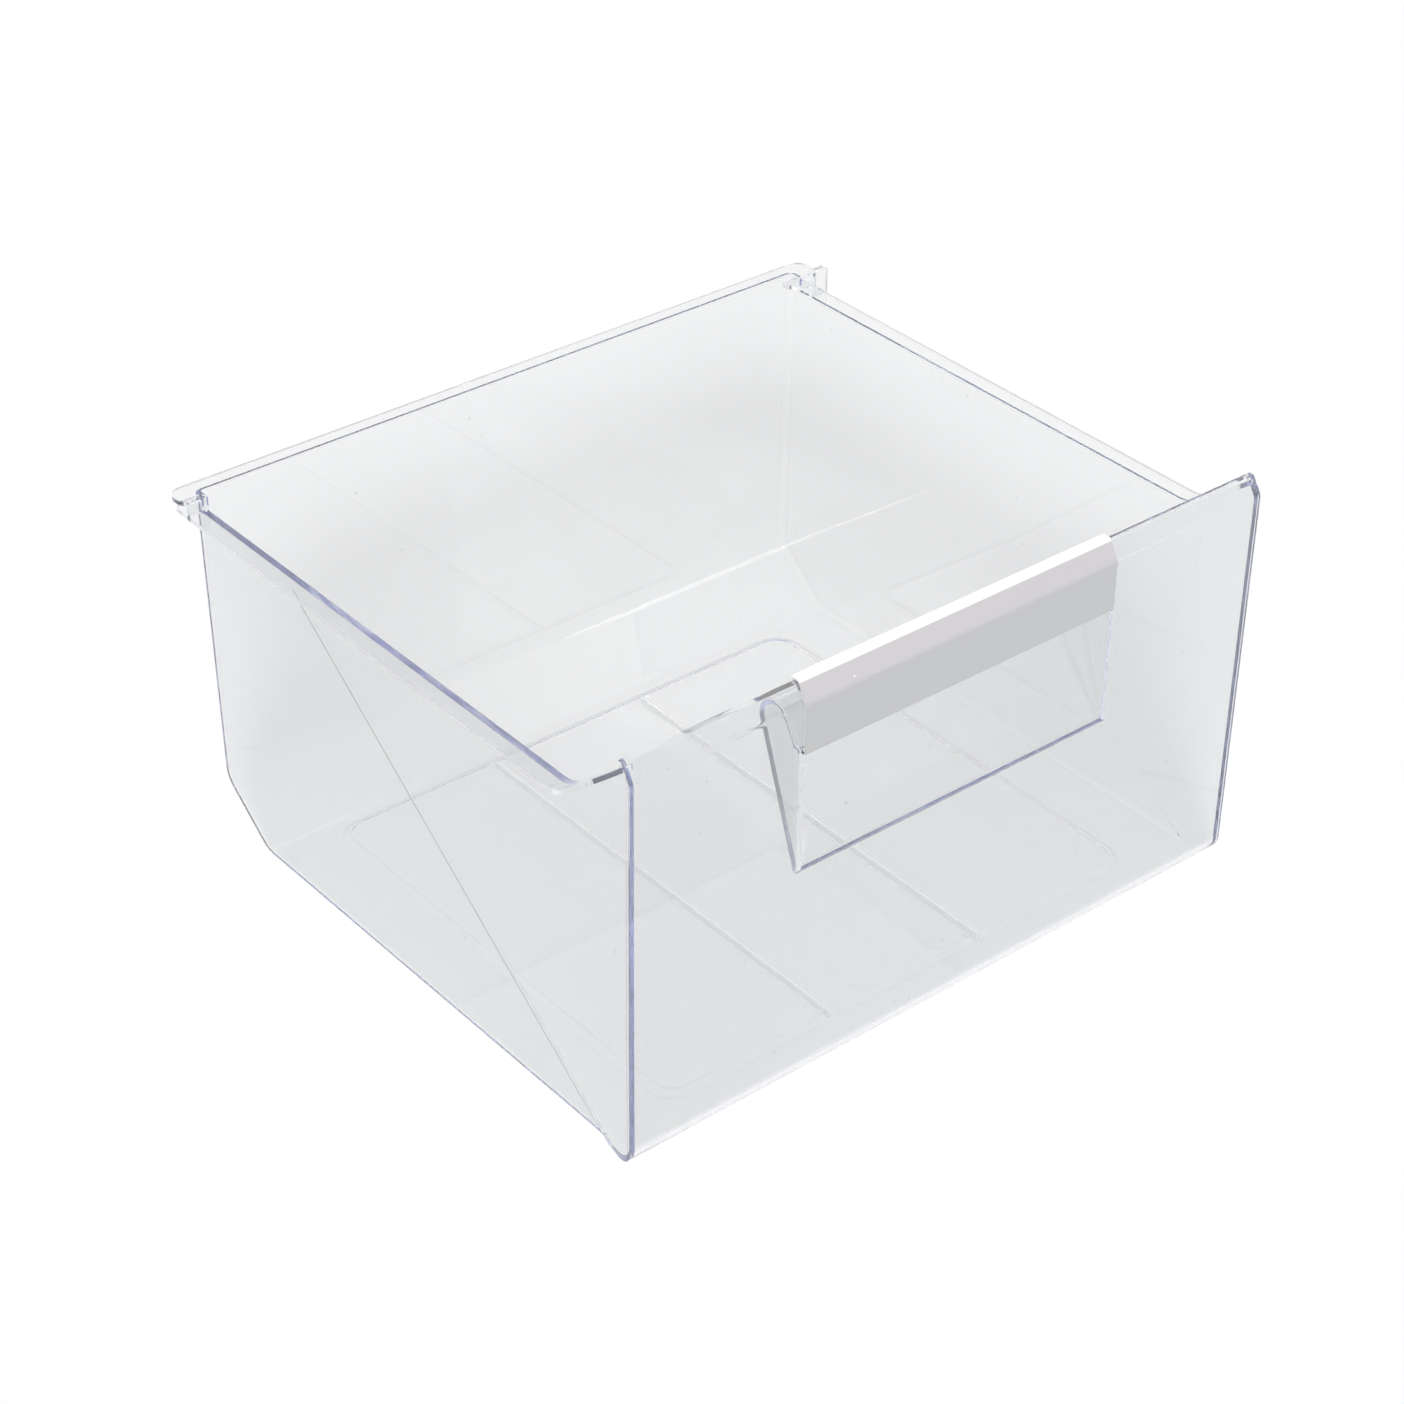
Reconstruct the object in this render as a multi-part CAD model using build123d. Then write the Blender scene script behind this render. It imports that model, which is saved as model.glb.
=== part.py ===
from build123d import *
import os
from math import atan, atan2, cos, radians, tan

# Heights are above the underside of the floor, depths are behind the front face of the panel.

# Moulding
wall = 2.8
clearance = 0.05

# Front panel, upright with a foot that bends back into the floor and a top band that leans back
panel_width = 400.0
panel_top = 232.0
panel_band = 9.4
panel_lean = 5.5
panel_bend = 4.5
panel_corner = 6.0
panel_foot = 13.0

# Tub with drafted sides, which flare out to the panel in front of a slanting crease
side_step = 4.0
side_draft = 1.0
side_round = 5.0
flare_reach = 22.0
flare_lean = 52.0
flare_inset = 0.4
back_depth = 355.0
back_draft = 0.5
slope_run = 37.0
slope_rise = 30.0
slope_bend = 16.0

# Side rims, level along the tub and ramping up to the top of the panel
rim_drop = 32.8
rim_reach = 12.0
rim_thickness = 2.4
rim_front_round = 20.0
rim_rear_round = 3.0
rim_rear_gap = 2.0
ramp_foot = 44.0
ramp_drop = 4.6
ramp_bend = 18.0

# Rear rim with an ear over the end of each side rim
rear_lift = 8.4
rear_reach = 8.0
riser_inset = 9.0
ear_reach = 3.0
ear_round = 8.0

# Upright stop on the right rim, in front of its ear
stop_inset = 20.0
stop_lift = 16.8
stop_round = 3.0

# Floor platform and the two runner ribs under it
platform_side_gap = 38.0
platform_front = 26.0
platform_rear_gap = 8.0
platform_round = 16.0
platform_rise = 1.5
platform_slope = 72.0
rib_spacing = 101.0
rib_thickness = 2.0
rib_drop = 3.5
rib_end_gap = 3.0

# Finger pocket behind the panel
pocket_width = 198.0
pocket_drop = 19.5
pocket_height = 81.9
pocket_depth = 31.5
pocket_wall = 2.2
pocket_back_round = 8.0
pocket_front_round = 4.0
grip_depth = 7.6
grip_top_depth = 16.3

# Handle trim clipped over the panel above the pocket
trim_height = 36.5
trim_thickness = 1.2
trim_proud = 0.3
trim_foot_reach = 5.0
trim_hook_drop = 5.0

# Places that follow from the sizes
side_reach = panel_width
sky = panel_top + 4 * wall
floor_width = panel_width - 2 * side_step
panel_crease = panel_top - panel_band
lean_slope = panel_lean / panel_band
panel_back = panel_lean + wall / cos(atan(lean_slope))
rim_height = panel_top - rim_drop
rim_width = floor_width + 2 * rim_reach
ramp_angle = atan2(rim_drop - ramp_drop, ramp_foot - panel_back)
rear_height = rim_height + rear_lift
rear_edge = back_depth + rear_reach
rim_end = rear_edge - rim_rear_gap
riser_depth = back_depth - riser_inset
ear_width = rim_width + 2 * ear_reach
platform_width = floor_width - 2 * platform_side_gap
pocket_top = panel_top - pocket_drop
pocket_bottom = pocket_top - pocket_height
trim_bottom = panel_top - trim_height
seat_depth = trim_thickness + clearance - trim_proud
grip_bottom = trim_bottom + trim_thickness + clearance


def back_at(height):
    """Depth of the outer back wall at a height."""
    return back_depth + (height - slope_rise) * tan(radians(back_draft))


def front_at(height):
    """Depth of the panel's front face at a height."""
    return max(0.0, (height - panel_crease) * lean_slope)


def outline(points, rounds=()):
    """Face through points, with each named corner rounded."""
    face = Polygon(*points, align=None)
    for corner, radius in rounds:
        face = fillet(face.vertices().sort_by_distance(corner)[0], radius)
    return face


def across(profile, start, end):
    """Profile in depth and height, drawn out from one x to another."""
    return extrude(Plane.YZ.offset(start) * profile, end - start, dir=(1, 0, 0))


def box_profile(front, rear, low, high):
    """Upright rectangle in depth and height."""
    return Polygon((front, low), (rear, low), (rear, high), (front, high), align=None)


def both_sides(solid):
    return solid + mirror(solid, Plane.YZ)


def side_profile():
    """Lengthwise section of the whole moulding, filled."""
    foot = (0, 0)
    heel = (back_depth - slope_run, 0)
    shoulder = (back_depth, slope_rise)
    crease = (0, panel_crease)
    points = [foot, heel, shoulder, (back_at(sky), sky), (front_at(sky), sky), crease]
    rounds = [(foot, panel_foot), (heel, slope_bend), (shoulder, slope_bend), (crease, panel_bend)]
    return outline(points, rounds)


def side_at(height):
    """Half width of the drafted tub at a height."""
    return floor_width / 2 + height * tan(radians(side_draft))


def crease_at(height):
    """Depth of the slanting crease at a height."""
    return flare_reach + height * tan(radians(flare_lean))


def between_heights(plan):
    """Solid with straight sides through the outlines that a plan gives below the floor and above the rims."""
    ends = [Plane.XY.offset(height) * Polygon(*plan(height), align=None) for height in (-wall, sky)]
    return loft(ends, ruled=True)


def inside(profile, depth):
    """Section of the skin that lies so deep inside the moulding."""
    return offset(profile, -depth, kind=Kind.INTERSECTION) if depth else profile


def drafted_tub(profile, depth):
    """Filled tub behind the crease, its corners rounded along the floor, slope and back."""
    rear = rear_edge + wall

    def plan(height):
        half = side_at(height) - depth
        return [(half, panel_foot), (half, rear), (-half, rear), (-half, panel_foot)]

    solid = across(inside(profile, depth), -side_reach, side_reach) & between_heights(plan)
    corners = [e for e in solid.edges() if abs(e.center().X) > platform_width / 2]
    corners = [e for e in corners if e.center().Y > flare_reach and e.center().Z < panel_top]
    solid = fillet(corners, side_round - depth)
    points = [(crease_at(-wall), -wall), (rear, -wall), (rear, sky), (crease_at(sky), sky)]
    return solid & across(outline(points), -side_reach, side_reach)


def flared_tub(profile, depth, panel=()):
    """Filled tub in front of the crease, flaring out to the upright edges of the panel."""
    half = panel_width / 2 - flare_inset - depth

    def plan(height):
        side = side_at(height) - depth
        return [(half, wall / 2), (side, crease_at(height)), (-side, crease_at(height)), (-half, wall / 2)]

    block = between_heights(plan) + panel
    return across(inside(profile, depth), -side_reach, side_reach) & block


def panel_plate():
    """Front plate with rounded corners, a little wider than the tub behind it."""
    face = Pos(0, panel_top / 2) * RectangleRounded(panel_width, panel_top, panel_corner)
    return extrude(Plane.XZ * face, wall, both=True)


def below_rims():
    """Everything under the top edge of the tub."""
    far = rear_edge + wall
    bend = (ramp_foot, rim_height)
    points = [
        (-wall, -wall),
        (-wall, panel_top),
        (panel_back, panel_top),
        (panel_back, panel_top - ramp_drop),
        bend,
        (riser_depth, rim_height),
        (riser_depth, rear_height),
        (far, rear_height),
        (far, -wall),
    ]
    return across(outline(points, [(bend, ramp_bend)]), -side_reach, side_reach)


def side_rims():
    """Flat rims along the sides, bent up to the panel, with their front corners rounded off."""
    start = wall / 2
    start_height = rim_height + (ramp_foot - start) * tan(ramp_angle)
    bend = (ramp_foot, rim_height)
    under_bend = (ramp_foot - rim_thickness * tan(ramp_angle / 2), rim_height - rim_thickness)
    points = [
        (start, start_height),
        bend,
        (rim_end, rim_height),
        (rim_end, rim_height - rim_thickness),
        under_bend,
        (start, start_height - rim_thickness / cos(ramp_angle)),
    ]
    strip = outline(points, [(bend, ramp_bend), (under_bend, ramp_bend + rim_thickness)])
    half = rim_width / 2
    front, rear = (half, start), (half, rim_end)
    shape = outline(
        [(0, start), front, rear, (0, rim_end)],
        [(front, rim_front_round), (rear, rim_rear_round)],
    )
    rim = across(strip, floor_width / 2, half) & extrude(shape, panel_top, dir=(0, 0, 1))
    return both_sides(rim)


def rear_rim():
    """Rim along the back wall that runs out into an ear over each side rim."""
    half = ear_width / 2
    points = [(-half, riser_depth), (half, riser_depth), (half, rear_edge), (-half, rear_edge)]
    shape = outline(points, [(point, ear_round) for point in points])
    flange = extrude(Plane.XY.offset(rear_height - rim_thickness) * shape, rim_thickness, dir=(0, 0, 1))
    riser = box_profile(riser_depth, riser_depth + wall, rim_height - rim_thickness, rear_height)
    return flange + both_sides(across(riser, floor_width / 2, rim_width / 2))


def rear_stop():
    """Upright plate across the right rim."""
    inner = floor_width / 2
    outer = rim_width / 2
    low = rim_height - rim_thickness
    corner = (outer, rim_height + stop_lift)
    shape = outline([(inner, low), (outer, low), corner, (inner, corner[1])], [(corner, stop_round)])
    return extrude(Plane.XZ.offset(stop_inset - back_depth) * shape, wall, dir=(0, 1, 0))


def platform(level):
    """Low raised area of the floor, from the given level up."""
    rear = back_depth - slope_run - platform_rear_gap
    shape = RectangleRounded(platform_width, rear - platform_front, platform_round)
    place = Plane.XY.offset(level) * Pos(0, (platform_front + rear) / 2)
    return extrude(place * shape, platform_rise, taper=platform_slope)


def runner_ribs():
    """Two ribs under the platform that the drawer slides on."""
    front = platform_front + rib_end_gap
    rear = back_depth - slope_run - platform_rear_gap - rib_end_gap
    shape = SlotOverall(rear - front, rib_thickness, rotation=90)
    place = Plane.XY.offset(-rib_drop) * Pos(rib_spacing / 2, (front + rear) / 2)
    return both_sides(extrude(place * shape, rib_drop + platform_rise + wall / 2))


def pocket_space():
    """Lengthwise section of the room for the fingers, open through the panel."""
    back = (pocket_depth, pocket_top)
    front = (grip_top_depth, pocket_top)
    points = [
        (-wall, pocket_bottom),
        (wall, pocket_bottom),
        back,
        front,
        (grip_depth, grip_bottom),
        (-wall, grip_bottom),
    ]
    return outline(points, [(back, pocket_back_round), (front, pocket_front_round)])


def between(profile, outward, inward):
    """Band along a profile from one offset to another, positive outwards."""
    return offset(profile, outward, kind=Kind.INTERSECTION) - offset(profile, inward, kind=Kind.INTERSECTION)


def drawer_body(profile):
    """The clear moulding: outer tub less inner tub, with rims, ribs, pocket and trim seat."""
    outer = drafted_tub(profile, 0) + flared_tub(profile, 0, panel_plate()) - platform(0)
    inner = drafted_tub(profile, wall) + flared_tub(profile, wall) - platform(wall)
    rims = [side_rims(), rear_rim(), rear_stop()]
    body = (outer & below_rims()) + rims - inner + runner_ribs()

    space = pocket_space()
    half = pocket_width / 2
    pocket = offset(space, pocket_wall) & box_profile(wall / 2, side_reach, 0, panel_top)
    body += across(pocket, -half - pocket_wall, half + pocket_wall)
    body -= across(space, -half, half)

    seat = between(profile, wall, -seat_depth) & box_profile(-side_reach, pocket_depth, trim_bottom, sky)
    return body - across(seat, -half - clearance, half + clearance)


def handle_trim(profile):
    """Thin strip that hooks over the panel's top edge and under its grip."""
    skin = trim_proud - trim_thickness
    behind = -wall - clearance
    hook = behind - trim_thickness
    cap = panel_top + clearance
    top = cap + trim_thickness
    back = pocket_depth
    front = -side_reach
    section = between(profile, trim_proud, skin) & box_profile(front, back, trim_bottom, top)
    section += between(profile, trim_proud, hook) & box_profile(front, back, cap, top)
    section += between(profile, behind, hook) & box_profile(front, back, cap - trim_hook_drop, top)
    section += box_profile(-trim_proud, trim_foot_reach, trim_bottom, trim_bottom + trim_thickness)
    return across(section, -pocket_width / 2, pocket_width / 2)


moulding = side_profile()
middle = Pos(0, (trim_proud - rear_edge) / 2, rib_drop)
os.makedirs("parts", exist_ok=True)
export_step(middle * drawer_body(moulding), "parts/drawer_body.step")
export_step(middle * handle_trim(moulding), "parts/handle_trim.step")
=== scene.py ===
from math import cos, radians, tan

import bpy
from mathutils import Matrix, Vector


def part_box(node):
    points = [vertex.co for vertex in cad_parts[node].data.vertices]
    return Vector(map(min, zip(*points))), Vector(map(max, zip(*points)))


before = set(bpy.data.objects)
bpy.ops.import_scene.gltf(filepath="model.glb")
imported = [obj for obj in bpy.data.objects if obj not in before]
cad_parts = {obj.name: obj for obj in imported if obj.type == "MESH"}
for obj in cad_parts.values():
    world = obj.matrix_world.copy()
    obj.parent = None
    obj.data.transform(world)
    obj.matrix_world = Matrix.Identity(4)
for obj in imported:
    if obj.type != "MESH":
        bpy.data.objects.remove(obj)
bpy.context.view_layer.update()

# Metres and degrees. X runs across the drawer, Y from its front to its rear, Z up.

# Camera, set by how it stands to the middle of the panel's foot
CAMERA_AZIMUTH = -39.81
CAMERA_ELEVATION = 34.05
CAMERA_ROLL = 0.71
CAMERA_DISTANCE = 1.62057
CAMERA_ASIDE = -0.12117
CAMERA_RAISED = 0.14072
CAMERA_LENS = 82.98
SENSOR_WIDTH = 36.0
PANEL_FOOT_HEIGHT = 0.0165

# Clear plastic, with its dust, its cloudy sheen and the waves of its faces
PLASTIC_IOR = 1.50
PLASTIC_TINT = (0.18, 0.30, 0.90, 1.0)
PLASTIC_DENSITY = 1.6
PLASTIC_HAZE = 0.010
PLASTIC_CLEAR = (0.890, 0.896, 0.901, 1.0)
PLASTIC_SPECK = (0.62, 0.63, 0.66, 1.0)
# Painted shade: the dark line along the slanting crease
PLASTIC_CREASE_SHADE = (0.34, 0.35, 0.37, 1.0)
PLASTIC_ROUGHNESS = (0.005, 0.035)
PLASTIC_DUST_SCALE = 55.0
PLASTIC_DUST_RADIUS = 0.030
PLASTIC_CLOUD_SCALE = 9.0
PLASTIC_CLOUD_DETAIL = 3.0
PLASTIC_WAVE_SCALE = 14.0
PLASTIC_WAVE_DETAIL = 1.0
PLASTIC_WAVE_STRENGTH = 0.12
PLASTIC_WAVE_HEIGHT = 0.0004

# Painted shade line along the slanting crease on the left side of the tub: where it meets the floor, how it
# leans and how wide it is painted
CREASE_FOOT = (0.1960, -0.15935, 0.0035)
CREASE_LEAN = 52.0
CREASE_WIDTH = 0.0011
CREASE_TOP = 0.195
SIDE_DRAFT = 1.0
HALF_WALL = 0.0014

# Satin silver strip with painted light: lighter on the band that leans back as a painted reflection, darker
# on the front leaf as painted shade, white along the top edge as a painted highlight
TRIM_FRONT_SHADED = (0.525, 0.530, 0.540, 1.0)
TRIM_BAND_REFLECTION = (0.600, 0.580, 0.600, 1.0)
# Painted highlight: the white colour of the strip's top edge, and the height where it starts
TRIM_EDGE_HIGHLIGHT = (0.97, 0.97, 0.97, 1.0)
TRIM_SPECK = (0.90, 0.90, 0.90, 1.0)
TRIM_BEND_HEIGHT = (0.2246, 0.2276)
TRIM_HIGHLIGHT_HEIGHT = (0.2352, 0.2357)
TRIM_ROUGHNESS = (0.28, 0.40)
TRIM_METAL = 0.85
TRIM_SPECK_SCALE = 60.0
TRIM_SPECK_RADIUS = 0.025
TRIM_BRUSH_STRETCH = (12.0, 900.0, 900.0)
TRIM_BRUSH_SCALE = 1.0
TRIM_BRUSH_DETAIL = 4.0
TRIM_BRUSH_STRENGTH = 0.12
TRIM_BRUSH_HEIGHT = 0.0002

# Studio: floor, sky and two lamps
FLOOR_SIZE = 6.0
FLOOR_COLOUR = (0.90, 0.90, 0.90, 1.0)
FLOOR_SHADE = 0.23
FLOOR_ROUGHNESS = 0.9
SKY_COLOUR = (1.0, 1.0, 1.0, 1.0)
SKY_STRENGTH = 0.25
BACKGROUND_STRENGTH = 1.0
LAMP_TARGET = (0.0, 0.0, 0.1)
KEY_PLACE = (-2.1, -2.6, 2.4)
KEY_ANGLE = 15.0
KEY_POWER = 4.5
REAR_PLACE = (1.0, 1.2, 2.7)
REAR_SIZE = 0.7
REAR_POWER = 4.0

# Light is led far along inside the clear walls before it leaves them at an edge
LIGHT_BOUNCES = 1024
DIFFUSE_BOUNCES = 12

# Sockets of a Mix node that mixes colours, and how soft the rim of a dot is
MIX_FACTOR = 0
MIX_COLOURS = (6, 7)
MIX_RESULT = 2
DOT_SOFTNESS = 1.4


def new_material(name):
    """A material with its shader, ready for more nodes."""
    material = bpy.data.materials.new(name)
    material.use_nodes = True
    tree = material.node_tree
    return material, tree, tree.nodes["Principled BSDF"], tree.nodes["Material Output"]


def add(tree, kind, **values):
    """A node of that kind, with its settings and inputs set by name."""
    node = tree.nodes.new(kind)
    for name, value in values.items():
        if hasattr(node, name):
            setattr(node, name, value)
        else:
            node.inputs[name].default_value = value
    return node


def ranged(tree, source, low, high):
    """A factor from 0 to 1, spread over another range."""
    spread = add(tree, "ShaderNodeMapRange")
    spread.inputs["To Min"].default_value = low
    spread.inputs["To Max"].default_value = high
    tree.links.new(source, spread.inputs["Value"])
    return spread.outputs["Result"]


def mixed(tree, factor, first, second):
    """One colour where a factor is 0 and another where it is 1; either may come from a node."""
    mix = add(tree, "ShaderNodeMix", data_type="RGBA")
    tree.links.new(factor, mix.inputs[MIX_FACTOR])
    for index, colour in zip(MIX_COLOURS, (first, second)):
        socket = mix.inputs[index]
        if isinstance(colour, tuple):
            socket.default_value = colour
        else:
            tree.links.new(colour, socket)
    return mix.outputs[MIX_RESULT]


def calculated(tree, operation, first, second=0.0):
    """Result of a sum, product or test of two values; either may come from a node."""
    node = add(tree, "ShaderNodeMath", operation=operation)
    for socket, value in zip(node.inputs, (first, second)):
        if isinstance(value, float):
            socket.default_value = value
        else:
            tree.links.new(value, socket)
    return node.outputs["Value"]


def noise(tree, place, scale, detail):
    """Cloudy pattern at a place, from 0 to 1."""
    texture = add(tree, "ShaderNodeTexNoise", Scale=scale, Detail=detail)
    tree.links.new(place, texture.inputs["Vector"])
    return texture.outputs["Fac"]


def dots(tree, place, scale, radius):
    """Factor that is 1 in small scattered dots."""
    cells = add(tree, "ShaderNodeTexVoronoi", Scale=scale)
    tree.links.new(place, cells.inputs["Vector"])
    edge = add(tree, "ShaderNodeMapRange")
    edge.inputs["From Min"].default_value = radius * DOT_SOFTNESS
    edge.inputs["From Max"].default_value = radius
    tree.links.new(cells.outputs["Distance"], edge.inputs["Value"])
    return edge.outputs["Result"]


def bumped(tree, shader, height, strength, distance):
    """Fine relief on a surface."""
    bump = add(tree, "ShaderNodeBump", Strength=strength, Distance=distance)
    tree.links.new(height, bump.inputs["Height"])
    tree.links.new(bump.outputs["Normal"], shader.inputs["Normal"])


def painted_crease_shade(tree, place):
    """Factor that is 1 in a thin line along the slanting crease, on the outside of the left wall, where
    shade is painted.
    """
    split = add(tree, "ShaderNodeSeparateXYZ")
    tree.links.new(place, split.inputs["Vector"])
    across, along, height = split.outputs
    side, foot, level = CREASE_FOOT
    rise = calculated(tree, "SUBTRACT", height, level)
    lean = calculated(tree, "MULTIPLY", rise, tan(radians(CREASE_LEAN)))
    apart = calculated(tree, "SUBTRACT", along, calculated(tree, "ADD", lean, foot))
    half_width = CREASE_WIDTH / cos(radians(CREASE_LEAN)) / 2
    near = calculated(tree, "LESS_THAN", calculated(tree, "ABSOLUTE", apart), half_width)
    draft = calculated(tree, "MULTIPLY", rise, tan(radians(SIDE_DRAFT)))
    wall = calculated(tree, "ADD", draft, side - HALF_WALL)
    outside = calculated(tree, "LESS_THAN", calculated(tree, "ADD", across, wall), 0.0)
    below = calculated(tree, "LESS_THAN", height, CREASE_TOP)
    return calculated(tree, "MULTIPLY", calculated(tree, "MULTIPLY", near, outside), below)


def clear_plastic():
    """Polished clear moulding: bluish in its depth, a little wavy and cloudy, with dust and a painted shade
    line along the slanting crease.
    """
    material, tree, shader, output = new_material("clear_plastic")
    shader.inputs["Transmission Weight"].default_value = 1.0 - PLASTIC_HAZE
    shader.inputs["IOR"].default_value = PLASTIC_IOR
    place = add(tree, "ShaderNodeTexCoord").outputs["Object"]
    dust = dots(tree, place, PLASTIC_DUST_SCALE, PLASTIC_DUST_RADIUS)
    dusty = mixed(tree, dust, PLASTIC_CLEAR, PLASTIC_SPECK)
    # The thin dark line along the slanting crease is painted shade
    tree.links.new(mixed(tree, painted_crease_shade(tree, place), dusty, PLASTIC_CREASE_SHADE), shader.inputs["Base Color"])
    clouds = noise(tree, place, PLASTIC_CLOUD_SCALE, PLASTIC_CLOUD_DETAIL)
    tree.links.new(ranged(tree, clouds, *PLASTIC_ROUGHNESS), shader.inputs["Roughness"])
    waves = noise(tree, place, PLASTIC_WAVE_SCALE, PLASTIC_WAVE_DETAIL)
    bumped(tree, shader, waves, PLASTIC_WAVE_STRENGTH, PLASTIC_WAVE_HEIGHT)
    depth = add(tree, "ShaderNodeVolumeAbsorption", Color=PLASTIC_TINT, Density=PLASTIC_DENSITY)
    tree.links.new(depth.outputs["Volume"], output.inputs["Volume"])
    return material


def satin_silver():
    """Silver foil on plastic, lightly brushed along its length, with a few specks; the band that leans back
    is painted lighter as a reflection, the front darker as shade, and the top edge white as a highlight.
    """
    material, tree, shader, _ = new_material("silver_trim")
    shader.inputs["Metallic"].default_value = TRIM_METAL
    place = add(tree, "ShaderNodeTexCoord").outputs["Object"]
    split = add(tree, "ShaderNodeSeparateXYZ")
    tree.links.new(place, split.inputs["Vector"])
    # Painted light: the front leaf is painted darker as shade, the band that leans back lighter as a
    # reflection, and the top edge white as a highlight
    painted_light_tone = TRIM_FRONT_SHADED
    for (low, high), colour in ((TRIM_BEND_HEIGHT, TRIM_BAND_REFLECTION), (TRIM_HIGHLIGHT_HEIGHT, TRIM_EDGE_HIGHLIGHT)):
        above = add(tree, "ShaderNodeMapRange")
        above.inputs["From Min"].default_value = low
        above.inputs["From Max"].default_value = high
        tree.links.new(split.outputs["Z"], above.inputs["Value"])
        painted_light_tone = mixed(tree, above.outputs["Result"], painted_light_tone, colour)
    specks = dots(tree, place, TRIM_SPECK_SCALE, TRIM_SPECK_RADIUS)
    tree.links.new(mixed(tree, specks, painted_light_tone, TRIM_SPECK), shader.inputs["Base Color"])
    stretch = add(tree, "ShaderNodeMapping", Scale=TRIM_BRUSH_STRETCH)
    tree.links.new(place, stretch.inputs["Vector"])
    brushing = noise(tree, stretch.outputs["Vector"], TRIM_BRUSH_SCALE, TRIM_BRUSH_DETAIL)
    tree.links.new(ranged(tree, brushing, *TRIM_ROUGHNESS), shader.inputs["Roughness"])
    bumped(tree, shader, brushing, TRIM_BRUSH_STRENGTH, TRIM_BRUSH_HEIGHT)
    return material


def dress(node, material):
    """Gives a node its one material."""
    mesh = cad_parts[node].data
    mesh.materials.clear()
    mesh.materials.append(material)


def seen_directly(tree):
    """A factor that is 1 on rays that show the background: from the camera, a mirror or a clear wall."""
    rays = add(tree, "ShaderNodeLightPath")
    seen = rays.outputs["Is Camera Ray"]
    for name in ("Is Glossy Ray", "Is Transmission Ray"):
        either = add(tree, "ShaderNodeMath", operation="MAXIMUM")
        tree.links.new(seen, either.inputs[0])
        tree.links.new(rays.outputs[name], either.inputs[1])
        seen = either.outputs["Value"]
    return seen


def make_world():
    """White where it is seen, and a plain soft sky for the light."""
    world = bpy.data.worlds.new("studio")
    bpy.context.scene.world = world
    world.use_nodes = True
    tree = world.node_tree
    sky = tree.nodes["Background"]
    sky.inputs["Color"].default_value = SKY_COLOUR
    strength = ranged(tree, seen_directly(tree), SKY_STRENGTH, BACKGROUND_STRENGTH)
    tree.links.new(strength, sky.inputs["Strength"])


def make_floor():
    """White floor that fades into the background and keeps a light shadow of the drawer."""
    bpy.ops.mesh.primitive_plane_add(size=FLOOR_SIZE)
    floor = bpy.context.object
    floor.name = "floor"
    material, tree, shader, output = new_material("floor")
    shader.inputs["Base Color"].default_value = FLOOR_COLOUR
    shader.inputs["Roughness"].default_value = FLOOR_ROUGHNESS
    shader.inputs["Specular IOR Level"].default_value = 0.0
    white = add(tree, "ShaderNodeEmission", Strength=BACKGROUND_STRENGTH)
    blend = add(tree, "ShaderNodeMixShader")
    tree.links.new(ranged(tree, seen_directly(tree), 0.0, 1.0 - FLOOR_SHADE), blend.inputs["Fac"])
    tree.links.new(shader.outputs["BSDF"], blend.inputs[1])
    tree.links.new(white.outputs["Emission"], blend.inputs[2])
    tree.links.new(blend.outputs["Shader"], output.inputs["Surface"])
    floor.data.materials.append(material)


def make_lamp(name, kind, place, size, power):
    """Soft lamp that faces the drawer: a square area lamp, or a sun whose size is its angle."""
    data = bpy.data.lights.new(name, kind)
    data.energy = power
    if kind == "SUN":
        data.angle = radians(size)
    else:
        data.size = size
    lamp = bpy.data.objects.new(name, data)
    lamp.location = place
    lamp.rotation_euler = (Vector(LAMP_TARGET) - Vector(place)).to_track_quat("-Z", "Y").to_euler()
    bpy.context.scene.collection.objects.link(lamp)


def make_camera():
    """Camera at the photograph's place, turned and rolled as it was."""
    turn = Matrix.Rotation(radians(CAMERA_AZIMUTH), 4, "Z")
    tilt = Matrix.Rotation(radians(90.0 - CAMERA_ELEVATION), 4, "X")
    roll = Matrix.Rotation(radians(CAMERA_ROLL), 4, "Z")
    foot = Matrix.Translation((0.0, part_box("drawer_body")[0].y, PANEL_FOOT_HEIGHT))
    aside = Matrix.Translation((CAMERA_ASIDE, CAMERA_RAISED, CAMERA_DISTANCE))
    data = bpy.data.cameras.new("camera")
    data.sensor_width = SENSOR_WIDTH
    data.lens = CAMERA_LENS
    camera = bpy.data.objects.new("camera", data)
    camera.matrix_world = foot @ turn @ tilt @ roll @ aside
    bpy.context.scene.collection.objects.link(camera)
    bpy.context.scene.camera = camera


dress("drawer_body", clear_plastic())
dress("handle_trim", satin_silver())
make_floor()
make_world()
make_lamp("key", "SUN", KEY_PLACE, KEY_ANGLE, KEY_POWER)
make_lamp("rear", "AREA", REAR_PLACE, REAR_SIZE, REAR_POWER)
make_camera()

scene = bpy.context.scene
scene.view_settings.view_transform = "Standard"
scene.cycles.max_bounces = LIGHT_BOUNCES
scene.cycles.glossy_bounces = LIGHT_BOUNCES
scene.cycles.transmission_bounces = LIGHT_BOUNCES
scene.cycles.diffuse_bounces = DIFFUSE_BOUNCES
